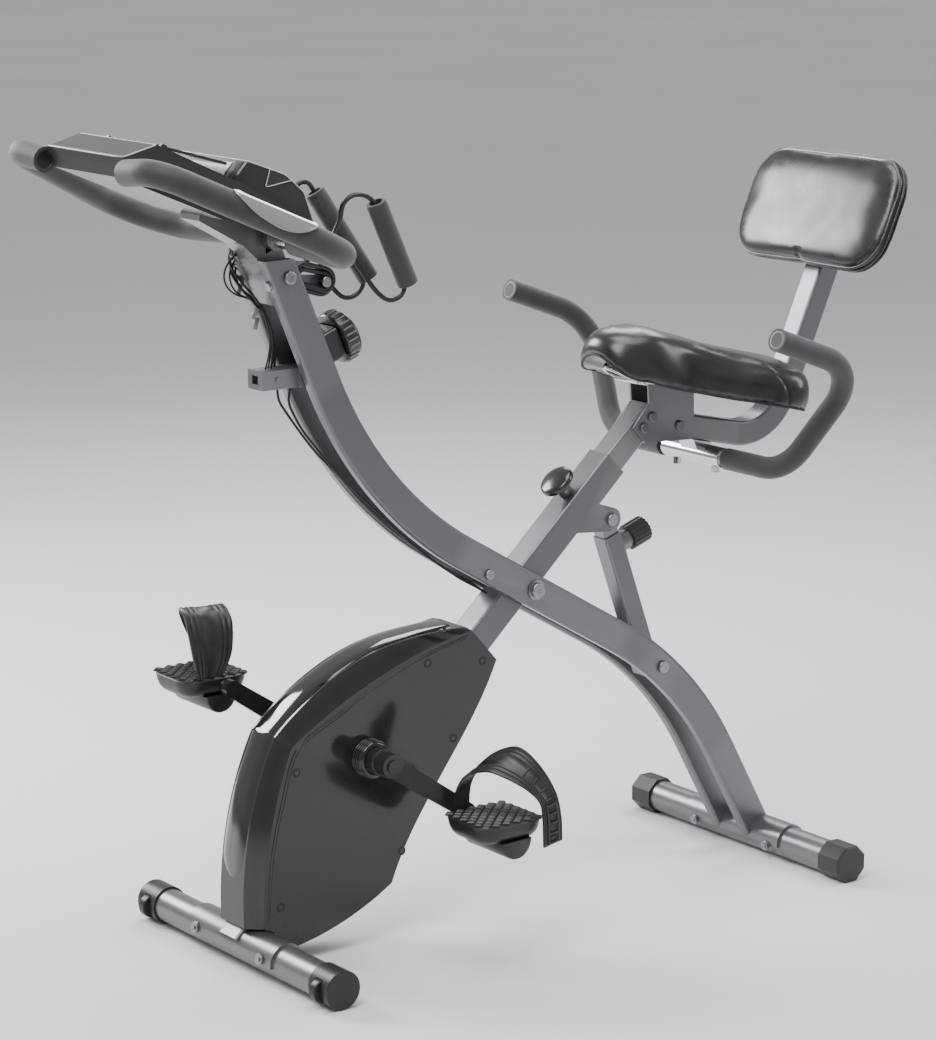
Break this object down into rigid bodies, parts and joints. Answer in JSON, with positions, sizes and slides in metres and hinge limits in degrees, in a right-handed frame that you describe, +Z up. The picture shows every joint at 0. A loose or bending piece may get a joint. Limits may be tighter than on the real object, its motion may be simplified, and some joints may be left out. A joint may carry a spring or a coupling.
{
  "type": "exercise bike",
  "caption": "Folding upright exercise bike with an X frame, saddle and padded backrest, side handles, a console on a looped handlebar, pull bands, pedals with straps and an enclosed belt drive.",
  "frame": {"origin": "middle of the bike's footprint, on the floor", "axes": "+X forward, towards the handlebar and the front foot; +Y to the rider's left; +Z up"},
  "size_m": [1.4005, 0.6636, 1.1814],
  "materials": {
    "frame_paint": "satin dark grey paint",
    "zinc": "zinc plated",
    "bar_steel": "light grey plated tube",
    "sensor_metal": "polished",
    "flywheel_iron": "machined",
    "crank_paint": "semi-gloss black",
    "case_gloss": "glossy black",
    "black_plastic": "fine texture",
    "rubber_black": "matte",
    "foam": "closed-cell foam",
    "seat_leather": "glossy synthetic leather"
  },
  "bodies": {
    "main_frame": {"main_frame": "frame_paint", "front_stabilizer": "frame_paint", "front_end_caps": "black_plastic", "sleeve_collar": "black_plastic", "main_frame_bolts": "zinc", "cover_trim": "case_gloss", "hub_covers": "black_plastic", "crank_bearings": "zinc", "drive_belt": "rubber_black", "left_cover": "case_gloss", "right_cover": "case_gloss"},
    "crankset": {"crank_axle": "zinc", "left_crank": "crank_paint", "right_crank": "crank_paint", "drive_pulley": "black_plastic"},
    "left_pedal_unit": {"left_pedal": "black_plastic", "left_strap": "rubber_black"},
    "right_pedal_unit": {"right_pedal": "black_plastic", "right_strap": "rubber_black"},
    "flywheel": {"flywheel": "flywheel_iron"},
    "magnet_bracket": {"magnet_bracket": "zinc"},
    "left_roller": {"left_roller": "rubber_black"},
    "right_roller": {"right_roller": "rubber_black"},
    "seat_knob": {"seat_knob": "black_plastic"},
    "seat": {"seat_post": "frame_paint", "seat_bracket": "frame_paint", "back_support": "frame_paint", "seat_cushion": "seat_leather", "backrest_pad": "seat_leather", "side_handle_bar": "bar_steel", "side_handle_grips": "foam", "handle_clamp": "frame_paint"},
    "curved_frame": {"left_beam": "frame_paint", "right_beam": "frame_paint", "mast_head": "frame_paint", "rear_saddle": "frame_paint", "rear_stabilizer": "frame_paint", "curved_frame_bolts": "zinc", "handlebar": "bar_steel", "handlebar_grips": "foam", "pulse_sensors": "sensor_metal", "console_base": "black_plastic", "console_cover": "case_gloss", "tension_housing": "black_plastic", "cable_box": "black_plastic", "mast_cables": "rubber_black", "band_coil": "rubber_black", "left_band": "rubber_black", "right_band": "rubber_black", "band_grips": "foam"},
    "strut_outer": {"strut_outer": "frame_paint"},
    "strut_inner": {"strut_inner": "zinc"},
    "strut_knob": {"strut_knob": "black_plastic"},
    "tension_dial": {"tension_dial": "black_plastic"},
    "tablet_flap": {"tablet_flap": "black_plastic"},
    "console_button_1": {"console_button_1": "black_plastic"},
    "console_button_2": {"console_button_2": "black_plastic"},
    "console_button_3": {"console_button_3": "black_plastic"},
    "left_rear_cap": {"left_rear_cap": "black_plastic"},
    "right_rear_cap": {"right_rear_cap": "black_plastic"}
  },
  "joints": [
    {"name": "frame_fold", "type": "hinge", "parent": "main_frame", "child": "curved_frame", "pos_m": [-0.034, 0, 0.484], "axis": [0, -1, 0], "range_deg": [0, 50]},
    {"name": "strut_swing", "type": "hinge", "parent": "curved_frame", "child": "strut_outer", "pos_m": [-0.278, 0, 0.33], "axis": [0, -1, 0], "range_deg": [-12.3, 1]},
    {"name": "strut_slide", "type": "slide", "parent": "strut_outer", "child": "strut_inner", "axis": [0.3389, 0, 0.9408], "range_m": [-0.002, 0.1421]},
    {"name": "strut_knob_pull", "type": "slide", "parent": "strut_outer", "child": "strut_knob", "axis": [-0.9408, 0, 0.3389], "range_m": [0, 0.01], "stiffness_N_per_m": 400, "springref_m": -0.006},
    {"name": "seat_height", "type": "slide", "parent": "main_frame", "child": "seat", "axis": [-0.7314, 0, 0.682], "range_m": [-0.055, 0.06]},
    {"name": "seat_knob_pull", "type": "slide", "parent": "main_frame", "child": "seat_knob", "axis": [0.682, 0, 0.7314], "range_m": [0, 0.01], "stiffness_N_per_m": 400, "springref_m": -0.006},
    {"name": "crank_spin", "type": "hinge", "parent": "main_frame", "child": "crankset", "pos_m": [0.272, 0, 0.283], "axis": [0, 1, 0], "continuous": true},
    {"name": "left_pedal_spin", "type": "hinge", "parent": "crankset", "child": "left_pedal_unit", "pos_m": [0.15568, 0.202, 0.20155], "axis": [0, 1, 0], "continuous": true},
    {"name": "right_pedal_spin", "type": "hinge", "parent": "crankset", "child": "right_pedal_unit", "pos_m": [0.38832, -0.202, 0.36445], "axis": [0, 1, 0], "continuous": true},
    {"name": "flywheel_spin", "type": "hinge", "parent": "main_frame", "child": "flywheel", "pos_m": [0.33, 0, 0.146], "axis": [0, 1, 0], "continuous": true},
    {"name": "magnet_swing", "type": "hinge", "parent": "main_frame", "child": "magnet_bracket", "pos_m": [0.244, 0, 0.218], "axis": [0, -1, 0], "range_deg": [-0.2, 5.2]},
    {"name": "left_roller_spin", "type": "hinge", "parent": "main_frame", "child": "left_roller", "pos_m": [0.472, 0.225, 0.026], "axis": [0, 1, 0], "continuous": true},
    {"name": "right_roller_spin", "type": "hinge", "parent": "main_frame", "child": "right_roller", "pos_m": [0.472, -0.225, 0.026], "axis": [0, 1, 0], "continuous": true},
    {"name": "tension_turn", "type": "hinge", "parent": "curved_frame", "child": "tension_dial", "pos_m": [0.28, 0, 0.886], "axis": [-0.9272, 0, 0.3746], "range_deg": [0, 270]},
    {"name": "flap_tilt", "type": "hinge", "parent": "curved_frame", "child": "tablet_flap", "pos_m": [0.6045, 0, 1.17341], "axis": [0, 1, 0], "range_deg": [-8, 60]},
    {"name": "left_rear_cap_turn", "type": "hinge", "parent": "curved_frame", "child": "left_rear_cap", "pos_m": [-0.488, 0.227, 0.028], "axis": [0, 1, 0], "continuous": true},
    {"name": "right_rear_cap_turn", "type": "hinge", "parent": "curved_frame", "child": "right_rear_cap", "pos_m": [-0.488, -0.227, 0.028], "axis": [0, 1, 0], "continuous": true},
    {"name": "button_1_press", "type": "slide", "parent": "curved_frame", "child": "console_button_1", "axis": [0.6514, 0, -0.7588], "range_m": [0, 0.0015], "stiffness_N_per_m": 250, "springref_m": -0.001},
    {"name": "button_2_press", "type": "slide", "parent": "curved_frame", "child": "console_button_2", "axis": [0.6514, 0, -0.7588], "range_m": [0, 0.0015], "stiffness_N_per_m": 250, "springref_m": -0.001},
    {"name": "button_3_press", "type": "slide", "parent": "curved_frame", "child": "console_button_3", "axis": [0.6514, 0, -0.7588], "range_m": [0, 0.0015], "stiffness_N_per_m": 250, "springref_m": -0.001}
  ],
  "couplings": [
    {"joint": "strut_swing", "follows": "frame_fold", "ratio": -0.226},
    {"joint": "strut_slide", "follows": "frame_fold", "m_per_rad": 0.1605},
    {"joint": "flywheel_spin", "follows": "crank_spin", "ratio": 6},
    {"joint": "magnet_swing", "follows": "tension_turn", "ratio": 0.018519}
  ]
}
